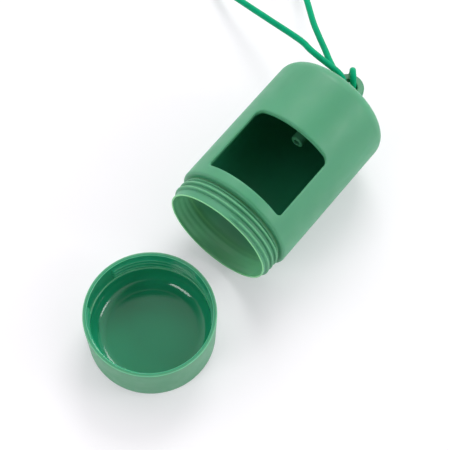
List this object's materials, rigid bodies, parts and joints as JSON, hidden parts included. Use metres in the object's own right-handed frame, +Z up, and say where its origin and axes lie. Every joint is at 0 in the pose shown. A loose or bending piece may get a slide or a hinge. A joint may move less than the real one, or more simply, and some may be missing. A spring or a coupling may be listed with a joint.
{
  "type": "wasp trap",
  "caption": "Round hanging wasp trap: cylindrical housing with a window, a threaded mouth, an inner peg and a lug, a screw-on bait cup set down in front, and a cord loop.",
  "frame": {"origin": "on the table surface, under the middle of the box round the housing and the cup", "axes": "+X along the housing's axis from its mouth to its lug, +Z up, which is the way that the window faces as the housing lies"},
  "size_m": [0.2464, 0.1577, 0.06],
  "materials": {
    "housing_plastic": "satin moulded green plastic",
    "cup_plastic": "moulded green plastic, satin outside and glossy inside",
    "cord": "smooth bright green round cord"
  },
  "bodies": {
    "housing": {"housing": "housing_plastic", "cord_loop": "cord", "cord_hitch": "cord", "cord_knot": "cord"},
    "cup": {"bait_cup": "cup_plastic"}
  },
  "joints": [
    {"name": "cup_turn", "type": "hinge", "parent": "housing", "child": "cup", "pos_m": [-0.0629, 0.0002, 0.013], "axis": [0, 0, 1], "continuous": true}
  ]
}
